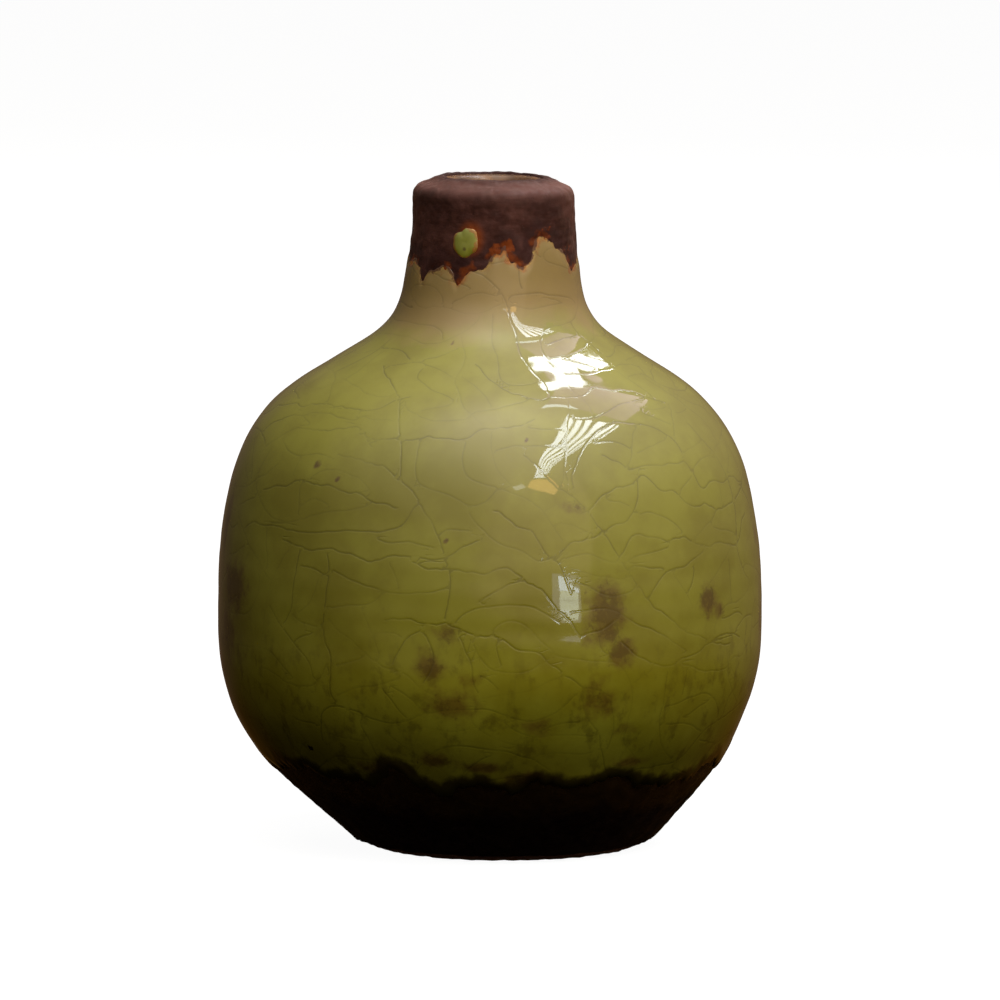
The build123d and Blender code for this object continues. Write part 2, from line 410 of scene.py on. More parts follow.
# Cracks that opened first, as angles in degrees and heights in mm that each one runs through.
FIRST_CRACKS = (
    ((8, 71), (13, 67), (21, 62), (27, 55), (33, 48), (40, 43), (50, 39), (61, 37)),
    ((-16, 53), (-2, 52), (5, 52), (13, 47), (19, 41)),
    ((-22, 44), (-2, 42), (8, 39), (17, 34), (26, 31)),
    ((1, 62), (9, 58), (15, 52), (17, 48)),
    ((20, 61), (29, 65), (36, 66), (42, 64), (52, 61), (64, 60), (78, 63)),
    ((27, 70), (37, 68), (50, 68), (55, 64), (68, 64), (84, 62)),
    ((10, 54), (21, 57), (32, 61), (35, 66)),
    ((28, 54), (33, 57), (42, 56), (56, 54), (66, 54), (74, 58)),
    ((28, 40), (34, 36), (46, 36), (56, 39), (66, 38)),
    ((-38, 70), (-29, 69), (-21, 67), (-16, 64), (-11, 58), (-8, 51), (-9, 44)),
    ((-84, 73), (-72, 76), (-52, 77), (-36, 77), (-24, 79)),
    ((-66, 70), (-58, 73), (-47, 73), (-36, 74), (-29, 72)),
    ((-34, 73), (-25, 73), (-12, 73), (-2, 74), (12, 76)),
    ((-60, 63), (-45, 65), (-31, 64), (-20, 62)),
    ((-50, 55), (-31, 54), (-13, 54), (-2, 57)),
    ((-6, 84), (6, 80), (22, 79), (40, 80), (58, 77)),
    ((-44, 83), (-30, 80), (-22, 73), (-20, 67)),
    ((60, 73), (66, 67), (68, 60), (66, 52), (72, 46)),
    ((120, 78), (128, 66), (124, 54), (133, 42), (130, 28)),
    ((170, 80), (186, 70), (205, 66), (222, 57), (236, 55)),
    ((150, 60), (168, 52), (188, 49), (204, 40), (226, 38)),
    ((240, 80), (246, 68), (258, 60), (262, 48), (256, 36)),
    ((92, 56), (108, 50), (126, 52), (144, 46), (156, 36)),
)


def edge_height(base, marks, radius, roughness, seed):
    """Function of angle that gives the height in mm of one of the glaze's ragged edges."""

    def height(angles):
        angles = np.asarray(angles, dtype=float)
        ring = np.stack([radius * np.sin(angles), -radius * np.cos(angles), 0 * angles], axis=-1)
        total = np.full(angles.shape, float(base))
        for mark, half_width, rise in marks:
            away = (np.degrees(angles) - mark + 180) % 360 - 180
            total = total + rise * np.exp(-((away / half_width) ** 2))
        for wavelength, share in ((6.0, 0.5), (2.4, 0.34), (1.1, 0.16)):
            tears = soft_noise(ring, wavelength, seed + int(10 * wavelength))
            total = total + roughness * share * tears
        return total

    return height


def rim_edge():
    """Upper edge of the glaze, on the neck."""
    base = box("crackle_glaze")[1].z / MM + 0.1
    return edge_height(base, RIM_EDGE_MARKS, box("rim_slip")[1].x / MM, 0.42, seed=11)


def heel_edge():
    """Lower edge of the glaze, on the heel."""
    lowest = box("crackle_glaze")[0].z / MM
    edge = edge_height(lowest + 1.8, HEEL_EDGE_MARKS, box("heel_slip")[1].x / MM, 1.0, seed=23)
    return lambda angles: np.maximum(edge(angles), lowest)


def edge_points(section, edge, growth, count=3000):
    """Many points in mm along one of the glaze's edges."""
    angles = np.linspace(-pi, pi, count, endpoint=False)
    return section.points(angles, section.outside(edge(angles)), growth)


def search_tree(points):
    """Tree that finds the nearest of the points."""
    tree = KDTree(len(points))
    for index, point in enumerate(points):
        tree.insert(point, index)
    tree.balance()
    return tree


def gaps(points, line, furthest):
    """Distance in mm from each point to the nearest of the line's points, up to the furthest."""
    tree = search_tree(line)
    return np.minimum(np.array([tree.find(point)[2] for point in points]), furthest)


class Crackle:
    """A net of cracks that open one after another, each stopping where it meets an older one.

    Places are remembered in a grid over angle and place, so that a growing crack finds its
    neighbours quickly.
    """

    STEP = 0.4  # mm between a crack's points
    MEET = 0.55  # mm from an older crack at which a new one ends on it
    CELL = 0.25  # mm, size of the grid's cells at the belly
    SQUASH = 1.45  # how much closer the cracks lie above each other than beside each other
    SPOTS = 7000  # places tried as a new crack's beginning, before some are dropped on the neck
    FURTHEST = 12.0  # mm, the gap that every spot starts with
    LEVEL = 0.72  # share of the cracks that run round the vase and not up it

    def __init__(self, section, low, high, growth, cell, seed):
        self.section, self.low, self.high, self.growth = section, low, high, growth
        self.chance = Random(seed)
        self.angles, self.places, self.owners, self.strengths = [], [], [], []
        self.rows = int((high - low) / self.CELL) + 2
        self.columns = int(2 * pi * section.radii.max() / self.CELL)
        self.grid = np.full((self.rows, self.columns), -1, dtype=np.int32)
        row_places = low + self.CELL * np.arange(self.rows)
        self.row_radii = section.radius(row_places).tolist()
        seeds = np.random.default_rng(seed)
        places = seeds.uniform(low, high, self.SPOTS)
        kept = seeds.uniform(0, section.radii.max(), self.SPOTS) < section.radius(places)
        self.spots = np.stack([seeds.uniform(-pi, pi, self.SPOTS)[kept], places[kept]], axis=1)
        self.spot_radii = section.radius(self.spots[:, 1])
        self.gap = np.full(len(self.spots), self.FURTHEST)
        for path in FIRST_CRACKS:
            self.open_first(path)
        while self.gap.max() > cell:
            self.open_next()

    def cell(self, angle, place):
        """Row and column of the grid at an angle and place."""
        row = min(max(int((place - self.low) / self.CELL), 0), self.rows - 1)
        return row, int(angle / (2 * pi) * self.columns) % self.columns

    def keep(self, line, strength):
        """Adds one crack, a list of angles and places, to the net."""
        count = len(self.strengths)
        self.strengths.append(strength)
        for angle, place in line:
            row, column = self.cell(angle, place)
            tall = int(self.MEET / self.CELL) + 1
            wide = int(self.MEET / self.CELL * self.section.radii.max() / self.row_radii[row]) + 1
            rows = np.arange(max(row - tall, 0), min(row + tall + 1, self.rows))
            around = np.arange(column - wide, column + wide + 1) % self.columns
            self.grid[np.ix_(rows, around)] = len(self.angles)
            self.angles.append(angle)
            self.places.append(place)
            self.owners.append(count)
        for angle, place in line[::4]:
            rise = np.abs(self.spots[:, 1] - place) * self.SQUASH
            close = np.nonzero(rise < self.gap)[0]
            turn = (self.spots[close, 0] - angle + pi) % (2 * pi) - pi
            away = np.hypot(turn * self.spot_radii[close], rise[close])
            self.gap[close] = np.minimum(self.gap[close], away)

    def open_first(self, path):
        """Opens a crack through given angles and heights, with a slight tremble."""
        angles = np.radians([angle for angle, _ in path])
        places = self.section.outside(np.array([height for _, height in path], dtype=float))
        fine = np.linspace(0, len(path) - 1, 26 * len(path))
        angles, places = (self.rounded(values, fine) for values in (angles, places))
        points = self.section.points(angles, places)
        places = places + 0.3 * soft_noise(points, 6.0, 41) + 0.1 * soft_noise(points, 2.2, 43)
        self.keep(list(zip(angles.tolist(), places.tolist())), 1.0)

    @staticmethod
    def rounded(values, fine):
        """Values at fine knot numbers, on a curve that passes through them all."""
        slopes = np.gradient(values)
        low = np.clip(fine.astype(int), 0, len(values) - 2)
        t = fine - low
        square, cube = t * t, t * t * t
        bend = (cube - 2 * square + t) * slopes[low] + (cube - square) * slopes[low + 1]
        start = (2 * cube - 3 * square + 1) * values[low]
        return start + (3 * square - 2 * cube) * values[low + 1] + bend

    def open_next(self):
        """Opens a crack through the emptiest spot, both ways, until it meets others."""
        index = int(np.argmax(self.gap))
        angle, place = self.spots[index].tolist()
        level = self.chance.random() < self.LEVEL
        heading = self.chance.gauss(0.0, 0.3) if level else pi / 2 + self.chance.gauss(0.0, 0.5)
        bend = self.chance.gauss(0.0, 0.02)
        forward = self.run(angle, place, heading, bend)
        backward = self.run(angle, place, heading + pi, -bend)
        self.keep(backward[::-1] + [(angle, place)] + forward, self.chance.uniform(0.3, 1.0))
        self.gap[index] = 0.0

    def run(self, angle, place, heading, bend):
        """Follows one crack from a place until it meets another or runs off the glaze."""
        line = []
        for _ in range(int(self.chance.uniform(30, 110))):
            bend += self.chance.gauss(0.0, 0.014) - 0.08 * bend
            heading += bend + self.chance.gauss(0.0, 0.09)
            angle += cos(heading) * self.STEP / self.row_radii[self.cell(angle, place)[0]]
            place += sin(heading) * self.STEP
            if not self.low < place < self.high:
                break
            older = self.grid[self.cell(angle, place)]
            if older >= 0:
                line.append((self.angles[older], self.places[older]))
                break
            line.append((angle, place))
        return line

    def offsets(self, points):
        """For each point, the vector in mm to the nearest crack, and that crack's strength."""
        stacked = self.section.points(np.array(self.angles), np.array(self.places), self.growth)
        owners = np.array(self.owners)
        tree = search_tree(stacked)
        nearest = np.array([tree.find(point)[1] for point in points])
        best = stacked[nearest] - points
        best_size = np.linalg.norm(best, axis=1)
        for step in (-1, 1):
            other = np.clip(nearest + step, 0, len(stacked) - 1)
            same = owners[other] == owners[nearest]
            run = np.where(same[:, None], stacked[other] - stacked[nearest], 0.0)
            size = np.maximum((run * run).sum(axis=1), 1e-9)
            share = np.clip(((points - stacked[nearest]) * run).sum(axis=1) / size, 0.0, 1.0)
            offset = stacked[nearest] + run * share[:, None] - points
            closer = np.linalg.norm(offset, axis=1) < best_size
            best[closer] = offset[closer]
            best_size = np.minimum(best_size, np.linalg.norm(offset, axis=1))
        return best, np.array(self.strengths)[owners[nearest]]


def strewn_blooms():
    """The listed iron blooms, and others strewn at random over the back."""
    chance = Random(77)
    blooms = list(IRON_BLOOMS)
    for _ in range(46):
        angle = chance.uniform(92, 268)
        height = 16 + 62 * chance.random() ** 1.3
        size = chance.choice((0.4, 0.5, 0.7, 1.5, 2.6, 4.0))
        blooms.append((angle, height, size * chance.uniform(1, 1.5), size, chance.uniform(0.6, 1.1)))
    return blooms


def spread(spots, angles, heights, radius):
    """Strength of soft spots at angles and heights in mm, on a surface of the given radius."""
    total = np.zeros(angles.shape)
    for angle, height, half_width, half_height, strength in spots:
        away = (np.degrees(angles) - angle + 180) % 360 - 180
        across = np.radians(away) * radius / half_width
        spot = strength * np.exp(-(across**2) - ((heights - height) / half_height) ** 2)
        total = np.maximum(total, spot)
    return total


# ---------------------------------------------------------------- node helpers


def feed(tree, value, socket):
    """Links a socket to an input, or sets the input to a plain value."""
    if isinstance(value, bpy.types.NodeSocket):
        tree.links.new(value, socket)
    elif hasattr(socket.default_value, "__len__") and hasattr(value, "__len__"):
        socket.default_value = tuple(value) + (1.0,) * (len(socket.default_value) - len(value))
    else:
        socket.default_value = value


def math(tree, operation, first, second=0.0):
    """A Math node's output."""
    node = tree.nodes.new("ShaderNodeMath")
    node.operation = operation
    feed(tree, first, node.inputs[0])
    feed(tree, second, node.inputs[1])
    return node.outputs[0]


def times(tree, first, second):
    """The product of two values."""
    return math(tree, "MULTIPLY", first, second)


def plus(tree, first, second):
    """The sum of two values."""
    return math(tree, "ADD", first, second)


def minus(tree, first, second):
    """The first value less the second."""
    return math(tree, "SUBTRACT", first, second)


def blend(tree, factor, first, second):
    """A colour Mix node's output."""
    node = tree.nodes.new("ShaderNodeMix")
    node.data_type = "RGBA"
    feed(tree, factor, node.inputs["Factor"])
    feed(tree, first, node.inputs[6])
    feed(tree, second, node.inputs[7])
    return node.outputs[2]


def laid_over(tree, color, over, mask, weight):
    """A colour with another laid over it where a mask is strong, at most by the weight."""
    return blend(tree, times(tree, mask, weight), color, over)


def ramp(tree, value, low, high, to_low=0.0, to_high=1.0):
    """A smooth Map Range node's output."""
    node = tree.nodes.new("ShaderNodeMapRange")
    node.interpolation_type = "SMOOTHSTEP"
    for index, entry in enumerate((value, low, high, to_low, to_high)):
        feed(tree, entry, node.inputs[index])
    return node.outputs[0]


def attribute(tree, name, vector=False):
    """A stored value or vector of the mesh."""
    node = tree.nodes.new("ShaderNodeAttribute")
    node.attribute_name = name
    return node.outputs["Vector" if vector else "Fac"]


def noise(tree, coordinates, scale, **values):
    """A Noise node's output, with its scale in 1/mm."""
    node = tree.nodes.new("ShaderNodeTexNoise")
    tree.links.new(coordinates, node.inputs["Vector"])
    for name, value in {"scale": scale, "detail": 3.0, "roughness": 0.55, **values}.items():
        feed(tree, value, node.inputs[name.title()])
    return node.outputs["Fac"]


def wander(tree, coordinates, scale, size, detail=5.0):
    """Noise of a given size that lies round zero, for tearing the edge of a mask."""
    return times(tree, minus(tree, noise(tree, coordinates, scale, detail=detail), 0.5), size)


def millimetres(tree, stretch=(1.0, 1.0, 1.0)):
    """Object coordinates in mm."""
    coordinates = tree.nodes.new("ShaderNodeTexCoord")
    mapping = tree.nodes.new("ShaderNodeMapping")
    mapping.inputs["Scale"].default_value = [1 / MM * value for value in stretch]
    tree.links.new(coordinates.outputs["Object"], mapping.inputs["Vector"])
    return mapping.outputs["Vector"]


def new_group(name, inputs, outputs, build):
    """A node group with inputs as given and outputs that the build function makes."""
    tree = bpy.data.node_groups.new(name, "ShaderNodeTree")
    for label, default in inputs.items():
        is_color = isinstance(default, tuple)
        kind = "NodeSocketColor" if is_color else "NodeSocketFloat"
        socket = tree.interface.new_socket(name=label, in_out="INPUT", socket_type=kind)
        socket.default_value = default + (1.0,) if is_color else default
    for label, kind in outputs.items():
        tree.interface.new_socket(name=label, in_out="OUTPUT", socket_type=f"NodeSocket{kind}")
    start, end = tree.nodes.new("NodeGroupInput"), tree.nodes.new("NodeGroupOutput")
    for label, value in build(tree, start.outputs).items():
        tree.links.new(value, end.inputs[label])
    return tree


def node_group(name, inputs, outputs):
    """Turns a function that fills a node group into one that places the group in a material.

    The group is made once, and every material shares it. Values for its inputs are given by name.
    What comes back is the group's output, or all of its outputs where it has several.
    """

    def turned(build):
        def place(tree, **values):
            node = tree.nodes.new("ShaderNodeGroup")
            node.node_tree = bpy.data.node_groups.get(name) or new_group(name, inputs, outputs, build)
            for label, value in values.items():
                feed(tree, value, node.inputs[label.title()])
            return node.outputs if len(outputs) > 1 else node.outputs[0]

        return place

    return turned


@node_group(
    "Clouds", {"First": (0.2, 0.2, 0.2), "Second": (0.6, 0.6, 0.6), "Size": 14.0}, {"Color": "Color"}
)
def clouds(tree, inputs):
    """Two colours mixed in soft clouds of a given size."""
    where = millimetres(tree)
    scale = math(tree, "DIVIDE", 1.0, inputs["Size"])
    broad = noise(tree, where, scale, detail=2.0, distortion=0.4)
    fine = noise(tree, where, times(tree, scale, 5.3), detail=4.0)
    mixed = plus(tree, times(tree, broad, 0.72), times(tree, fine, 0.28))
    return {"Color": blend(tree, ramp(tree, mixed, 0.36, 0.64), inputs["First"], inputs["Second"])}


@node_group("Speckle", {"Patch": 0.0, "Scale": 0.9, "Amount": 0.3}, {"Mask": "Float"})
def speckle(tree, inputs):
    """Specks that gather where a patch mask is strong and are sparse elsewhere."""
    where = millimetres(tree)
    grain = noise(tree, where, inputs["Scale"], detail=5.0, roughness=0.68)
    torn = noise(tree, where, times(tree, inputs["Scale"], 0.42), detail=3.0)
    both = plus(tree, times(tree, grain, 0.6), times(tree, torn, 0.4))
    lifted = plus(tree, both, times(tree, inputs["Patch"], 0.34))
    threshold = minus(tree, 1.0, inputs["Amount"])
    return {"Mask": ramp(tree, lifted, threshold, plus(tree, threshold, 0.11))}


@node_group("Crackle", {"Width": 0.2}, {"Line": "Float", "Halo": "Float", "Height": "Float"})
def crackle(tree, inputs):
    """Hairline mask of the stored cracks, and the height of the grooves they leave."""
    where = millimetres(tree)
    length = tree.nodes.new("ShaderNodeVectorMath")
    length.operation = "LENGTH"
    tree.links.new(attribute(tree, "crack_offset", vector=True), length.inputs[0])
    away = plus(tree, length.outputs["Value"], wander(tree, where, 1.7, 0.1, detail=3.0))
    # Between two close cracks the blended offset shrinks to nothing, and the stored gap doesn't.
    between = minus(tree, attribute(tree, "crack_gap"), 0.45)
    away = math(tree, "MAXIMUM", math(tree, "MAXIMUM", away, between), 0.0)
    half = times(tree, inputs["Width"], 0.5)

    def near(full, none):
        """1 within full half widths of the crack's middle, 0 beyond none."""
        start = times(tree, half, full) if full else 0.0
        return ramp(tree, away, start, times(tree, half, none), 1.0, 0.0)

    fading = ramp(tree, noise(tree, where, 0.09), 0.34, 0.6, 0.35, 1.0)
    weight = times(tree, attribute(tree, "crack_strength"), fading)
    return {
        "Line": times(tree, near(0.3, 1.3), weight),
        "Halo": times(tree, near(0.0, 5.0), weight),
        "Height": minus(tree, 1.0, times(tree, near(0.2, 2.4), weight)),
    }


@node_group("Edge band", {"Gap": 0.0, "Width": 1.0, "Ragged": 1.0, "Scale": 0.8}, {"Mask": "Float"})
def edge_band(tree, inputs):
    """Band beside a stored edge, with a ragged far side."""
    ragged = wander(tree, millimetres(tree), inputs["Scale"], inputs["Ragged"], detail=4.0)
    moved = plus(tree, inputs["Gap"], ragged)
    return {"Mask": ramp(tree, moved, times(tree, inputs["Width"], 0.45), inputs["Width"], 1.0, 0.0)}


@node_group("Grain", {"Size": 9.0, "Fine": 0.2, "Pits": 0.0}, {"Height": "Float"})
def grain(tree, inputs):
    """Height of a fired surface: broad unevenness, fine grain and pinholes."""
    where = millimetres(tree)
    broad = noise(tree, where, math(tree, "DIVIDE", 1.0, inputs["Size"]), detail=2.0)
    fine = noise(tree, where, math(tree, "DIVIDE", 9.0, inputs["Size"]), detail=5.0, roughness=0.62)
    cells = tree.nodes.new("ShaderNodeTexVoronoi")
    tree.links.new(where, cells.inputs["Vector"])
    feed(tree, math(tree, "DIVIDE", 3.0, inputs["Size"]), cells.inputs["Scale"])
    pits = times(tree, ramp(tree, cells.outputs["Distance"], 0.05, 0.22), inputs["Pits"])
    return {"Height": plus(tree, plus(tree, broad, times(tree, fine, inputs["Fine"])), pits)}


def new_material(name, **constants):
    """A material with its Principled shader, whose constant inputs are set here."""
    material = bpy.data.materials.new(name)
    material.use_nodes = True
    tree = material.node_tree
    shader = tree.nodes["Principled BSDF"]
    for label, value in constants.items():
        shader.inputs[label.replace("_", " ").title().replace("Ior", "IOR")].default_value = value
    return material, tree, shader


def feed_shader(tree, shader, color, roughness, height, depth):
    """Links a colour, a roughness and a relief, which is depth mm deep, to the shader."""
    tree.links.new(color, shader.inputs["Base Color"])
    tree.links.new(roughness, shader.inputs["Roughness"])
    bump = tree.nodes.new("ShaderNodeBump")
    bump.inputs["Distance"].default_value = depth * MM
    feed(tree, height, bump.inputs["Height"])
    tree.links.new(bump.outputs["Normal"], shader.inputs["Normal"])


# ---------------------------------------------------------------- materials


def patch_mask(tree, where, patch, low, high):
    """Torn spots where the stored patches of rust are strong."""
    return ramp(tree, plus(tree, patch, wander(tree, where, 0.9, 1.8)), low, high)


def crackle_glaze_material(look):
    """Glossy olive glaze: clouds, tan neck, rusty edges, iron blooms and stained crackle."""
    material, tree, shader = new_material("crackle_glaze", IOR=1.5)
    where = millimetres(tree)
    top_gap, heel_gap = attribute(tree, "top_gap"), attribute(tree, "heel_gap")
    bloom, patch = attribute(tree, "iron"), attribute(tree, "rust_patch")
    color = clouds(tree, first=look.light, second=look.deep, size=17.0)
    tan_zone = edge_band(tree, gap=top_gap, width=14.0, ragged=7.0, scale=0.16)
    color = laid_over(tree, color, look.tan, tan_zone, 0.85)
    # Brown clouds sink into the glaze towards the heel.
    sunk = edge_band(tree, gap=heel_gap, width=11.0, ragged=9.0, scale=0.2)
    color = laid_over(tree, color, look.iron, sunk, 0.14)
    stain = ramp(tree, plus(tree, bloom, wander(tree, where, 0.4, 1.3)), 0.18, 0.85)
    color = laid_over(tree, color, look.bloom, stain, 0.72)
    mottle = edge_band(tree, gap=heel_gap, width=34.0, ragged=22.0, scale=0.11)
    smears = noise(tree, millimetres(tree, stretch=(1.0, 1.0, 0.7)), 0.34, detail=5.0, roughness=0.62)
    mottle = times(tree, mottle, ramp(tree, smears, 0.5, 0.68))
    color = laid_over(tree, color, look.iron, mottle, 0.42)
    specks = speckle(tree, patch=bloom, scale=0.85, amount=0.31)
    color = laid_over(tree, color, look.iron, specks, 0.36)
    cracks = crackle(tree, width=look.line_width / MM)
    color = laid_over(tree, color, look.line, cracks["Halo"], 0.07)
    color = laid_over(tree, color, look.line, cracks["Line"], 0.36)
    # Beside the neck's slip the glaze turns rusty in patches, and its very edge is scorched.
    fringe = edge_band(tree, gap=top_gap, width=1.5, ragged=2.6, scale=0.7)
    fringe = times(tree, fringe, ramp(tree, noise(tree, where, 0.3), 0.46, 0.62, 0.15, 1.0))
    rust = math(tree, "MAXIMUM", fringe, patch_mask(tree, where, patch, 0.45, 0.75))
    color = laid_over(tree, color, look.rust, rust, 0.8)
    clots = speckle(tree, patch=patch, scale=1.5, amount=0.28)
    clots = times(tree, clots, ramp(tree, patch, 0.12, 0.4))
    color = laid_over(tree, color, look.scorch, clots, 0.9)
    scorch = edge_band(tree, gap=top_gap, width=0.6, ragged=1.7, scale=1.1)
    color = laid_over(tree, color, look.scorch, scorch, 0.92)
    drowned = edge_band(tree, gap=heel_gap, width=3.4, ragged=4.2, scale=0.3)
    color = laid_over(tree, color, look.drowned, drowned, 0.88)
    gloss = ramp(tree, noise(tree, where, 0.12, detail=4.0), 0.3, 0.75, 0.025, 0.06)
    matt_edge = edge_band(tree, gap=top_gap, width=0.9, ragged=0.6, scale=0.8)
    for mask, dulling in ((rust, 0.25), (specks, 0.06), (matt_edge, 0.45)):
        gloss = plus(tree, gloss, times(tree, mask, dulling))
    unevenness = times(tree, grain(tree, size=13.0, fine=0.02, pits=0.0), 0.22)
    relief = plus(tree, unevenness, times(tree, cracks["Height"], 0.4))
    feed_shader(tree, shader, color, gloss, relief, depth=0.05)
    return material


def slip_material(look, name, dark, light, shine, rusty):
    """Satin slip with brush marks, pale specks that are partly chalk and partly painted glints, rusty
    beside the glaze or thinned there.
    """
    material, tree, shader = new_material(name, IOR=1.45, specular_ior_level=shine)
    where = millimetres(tree)
    color = clouds(tree, first=dark, second=light, size=6.0)
    strokes = noise(tree, millimetres(tree, stretch=(0.25, 0.25, 1.6)), 0.9, detail=4.0)
    color = blend(tree, ramp(tree, strokes, 0.45, 0.75, 0.0, 0.5), color, light)
    gap = attribute(tree, "glaze_gap")
    if rusty:
        # Painted light: the lip's upward slope is painted lighter, as if lit from above.
        color = laid_over(tree, color, look.painted_lip_light, attribute(tree, "lip_painted_light"), 0.65)
        color = laid_over(tree, color, look.burn, attribute(tree, "crown_scorch"), 0.9)
        burnt = edge_band(tree, gap=gap, width=3.2, ragged=4.2, scale=0.45)
        color = laid_over(tree, color, look.burn, burnt, 0.72)
        fringe = edge_band(tree, gap=gap, width=0.9, ragged=1.7, scale=0.9)
        fringe = times(tree, fringe, ramp(tree, noise(tree, where, 0.3), 0.46, 0.62))
        patches = patch_mask(tree, where, attribute(tree, "rust_patch"), 0.5, 0.8)
        rust = math(tree, "MAXIMUM", times(tree, fringe, 0.8), patches)
        color = laid_over(tree, color, look.rust, rust, 0.8)
        halo = ramp(tree, attribute(tree, "splash_halo"), 0.25, 0.8)
        color = laid_over(tree, color, look.rust, halo, 0.9)
        color = blend(tree, ramp(tree, attribute(tree, "splash_burn"), 0.3, 0.8), color, look.burn)
    else:
        thinned = edge_band(tree, gap=gap, width=7.5, ragged=6.0, scale=0.28)
        color = laid_over(tree, color, look.heel_thin, thinned, 0.85)
    # Pale specks: partly chalk in the slip, partly painted glints that stand in for tiny highlights.
    chalk_and_glints = speckle(tree, patch=0.0, scale=1.5, amount=0.35)
    color = laid_over(tree, color, (0.55, 0.47, 0.44), chalk_and_glints, 0.5)
    satin = ramp(tree, noise(tree, where, 0.7, detail=5.0), 0.3, 0.7, 0.42, 0.68)
    relief = plus(tree, grain(tree, size=2.6, fine=0.5, pits=0.25), times(tree, strokes, 0.5))
    feed_shader(tree, shader, color, satin, relief, depth=0.09)
    return material


def stoneware_material(look):
    """Bare fired clay: toasted clouds, dark grog and a gritty surface."""
    material, tree, shader = new_material("stoneware", IOR=1.4)
    color = clouds(tree, first=look.clay, second=look.toasted, size=9.0)
    grog = speckle(tree, patch=0.0, scale=1.8, amount=0.4)
    color = laid_over(tree, color, (0.03, 0.018, 0.01), grog, 0.7)
    rough = ramp(tree, noise(tree, millimetres(tree), 1.1), 0.3, 0.7, 0.7, 0.92)
    feed_shader(tree, shader, color, rough, grain(tree, size=2.2, fine=0.9, pits=0.5), depth=0.12)
    return material


def liner_material(look):
    """Glossy amber liner that pools darker where it is thick."""
    material, tree, shader = new_material("liner_glaze", IOR=1.5)
    color = clouds(tree, first=look.liner, second=look.liner_deep, size=7.0)
    specks = speckle(tree, patch=0.0, scale=0.9, amount=0.36)
    color = laid_over(tree, color, (0.05, 0.02, 0.008), specks, 0.6)
    gloss = ramp(tree, noise(tree, millimetres(tree), 0.4), 0.3, 0.7, 0.2, 0.34)
    feed_shader(tree, shader, color, gloss, grain(tree, size=5.0, fine=0.1, pits=0.0), depth=0.08)
    return material


def splash_material(look):
    """The glaze of the splash: clean green in the middle, rusty round its edge."""
    material, tree, shader = new_material("glaze_splash", IOR=1.5)
    color = clouds(tree, first=look.light, second=look.deep, size=3.0)
    color = blend(tree, 0.35, color, (0.2, 0.3, 0.07))
    rust = edge_band(tree, gap=attribute(tree, "top_gap"), width=0.6, ragged=1.1, scale=1.3)
    color = laid_over(tree, color, look.rust, rust, 0.75)
    pip = ramp(tree, attribute(tree, "iron"), 0.2, 0.7)
    color = laid_over(tree, color, look.iron, pip, 0.7)
    gloss = plus(tree, times(tree, rust, 0.2), 0.1)
    feed_shader(tree, shader, color, gloss, grain(tree, size=3.0, fine=0.1, pits=0.0), depth=0.05)
    return material


# ---------------------------------------------------------------- pieces


def slip_growth():
    """Thickness in mm of the slip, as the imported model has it."""
    return box("rim_slip")[1].z / MM - box("clay_body")[1].z / MM


def glaze_growth():
    """Thickness in mm of the glaze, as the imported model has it."""
    return box("crackle_glaze")[1].x / MM - box("clay_body")[1].x / MM


def splash_center(section):
    """Angle and place of the splash on the neck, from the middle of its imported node."""
    low, high = box("glaze_splash")
    middle = (low + high) / 2
    return atan2(middle.x, -middle.y), section.outside(middle.z / MM)


def clay_piece(shape, look, section):
    """The thrown and turned clay, with turning marks under the foot."""
    angles = np.linspace(-pi, pi, shape.columns // 2, endpoint=False)
    foot_end = section.foot + 10
    rows = np.concatenate([
        turned_rows(0.35, foot_end, 0.35)[:-1],
        turned_rows(foot_end, section.crown - 6, shape.clay_row / MM)[:-1],
        turned_rows(section.crown - 6, section.crown + 8, 0.5)[:-1],
        turned_rows(section.crown + 8, section.length - 0.6, shape.clay_row / MM),
    ])
    rings = [section.points(0.0, 0.0)[None, :]]
    for row in rows:
        place = np.full(angles.shape, row)
        marks = 0.05 * np.sin(2 * pi * section.radius(row) / 1.7 + angles)
        marks = marks * (row < section.foot + 2) * (1 - np.exp(-row / 4))
        drag = 0.04 * soft_noise(section.points(angles, place), 2.2, 5) * (row < foot_end)
        rings.append(section.points(angles, place, marks + drag - 0.06))
    rings.append(section.points(0.0, section.length - SECTION_STEP)[None, :])
    rings = [thrown(ring, shape, section) for ring in rings]
    lowest = min(ring[:, 2].min() for ring in rings)
    rings = [ring - (0, 0, lowest) for ring in rings]
    piece = ring_mesh("thrown_clay_body", rings, closed=False)
    finish_piece(piece, stoneware_material(look), ["clay_body"], mirrored=False)


